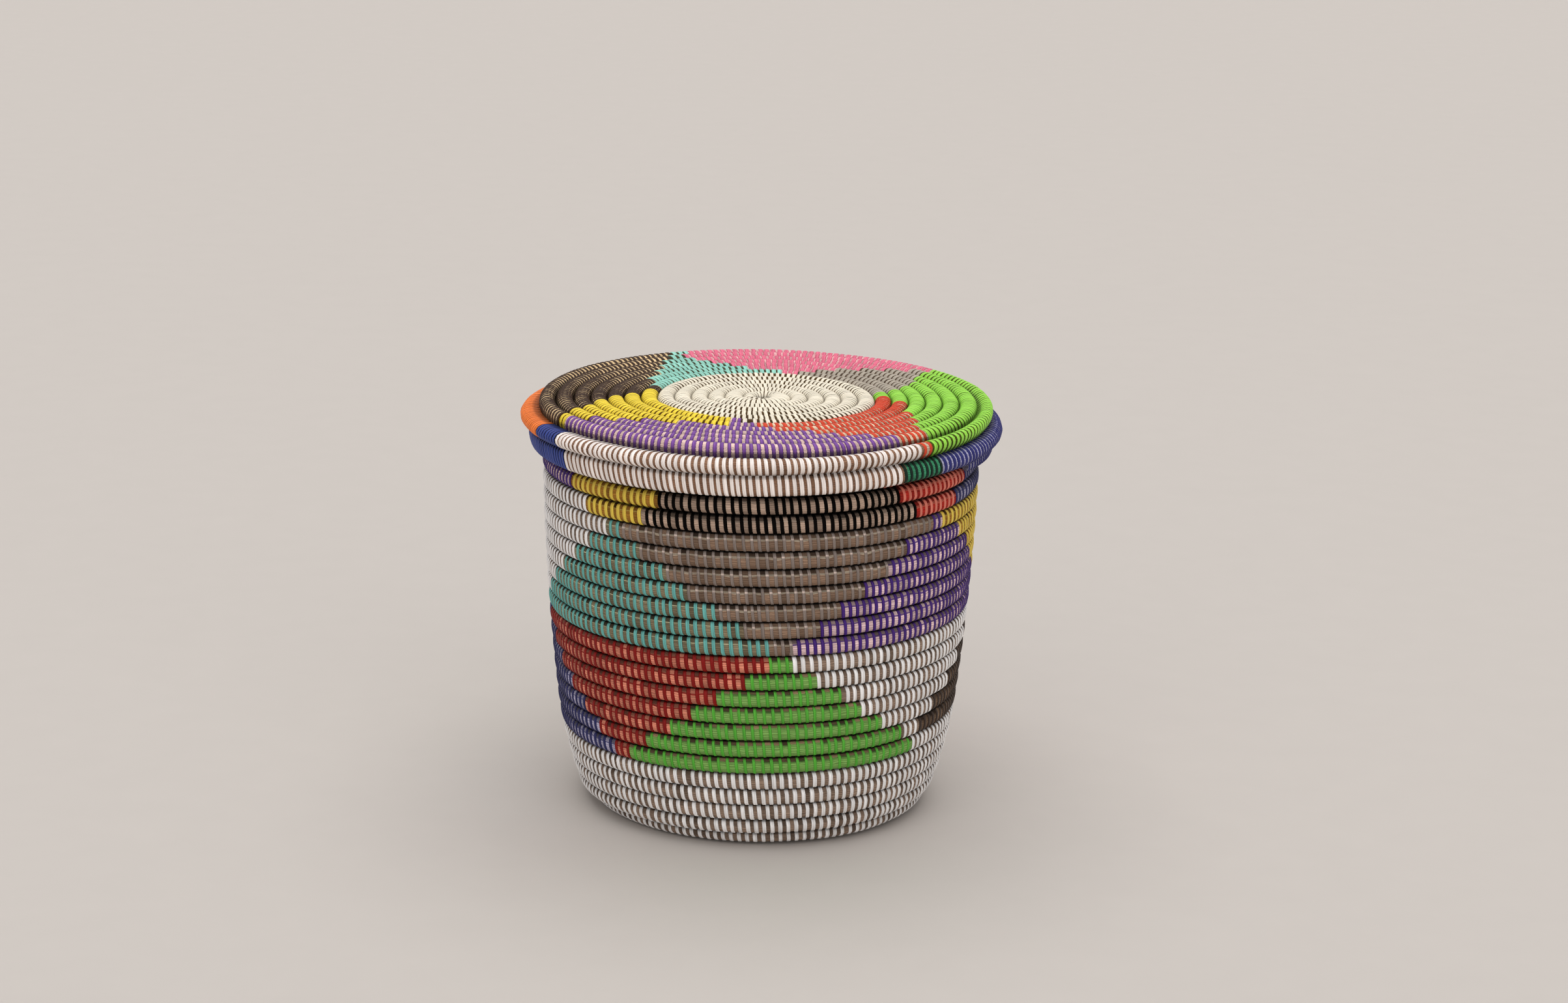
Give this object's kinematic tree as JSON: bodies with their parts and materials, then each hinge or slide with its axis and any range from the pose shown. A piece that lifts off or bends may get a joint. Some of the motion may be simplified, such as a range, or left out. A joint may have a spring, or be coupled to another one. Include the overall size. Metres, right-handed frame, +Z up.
{
  "type": "lidded coiled basket",
  "caption": "Round coiled basket of grass sewn over with coloured strips, with a loose flat lid whose skirt hangs outside the rim.",
  "frame": {"origin": "on the floor under the middle of the basket", "axes": "+Z up, -Y towards the viewer of the picture, +X to the right; the basket's axis is Z"},
  "size_m": [0.3005, 0.3005, 0.2614],
  "materials": {
    "base_grass": "sewn grass bundle, matt",
    "foot_strip": "white plastic strip sewn over brown grass",
    "lower_strip": "green, red, white and navy plastic strip sewn over grass",
    "upper_strip": "teal, gray, purple, yellow and white plastic strip sewn over grass",
    "rim_strip": "black, yellow, red and navy plastic strip sewn over grass",
    "lid_centre_strip": "white plastic strip sewn over grass",
    "lid_pattern_strip": "eight colours of plastic strip sewn over grass",
    "lid_skirt_strip": "white, orange, blue, navy and green plastic strip sewn over grass"
  },
  "bodies": {
    "basket": {"base_disc": "base_grass", "foot_coil": "foot_strip", "lower_pattern_coil": "lower_strip", "upper_pattern_coil": "upper_strip", "rim_coil": "rim_strip"},
    "lid": {"lid_centre_coil": "lid_centre_strip", "lid_pattern_coil": "lid_pattern_strip", "lid_skirt_coil": "lid_skirt_strip"}
  },
  "joints": [
    {"name": "lid_lift", "type": "slide", "parent": "basket", "child": "lid", "axis": [0, 0, 1], "range_m": [0, 0.16]}
  ]
}
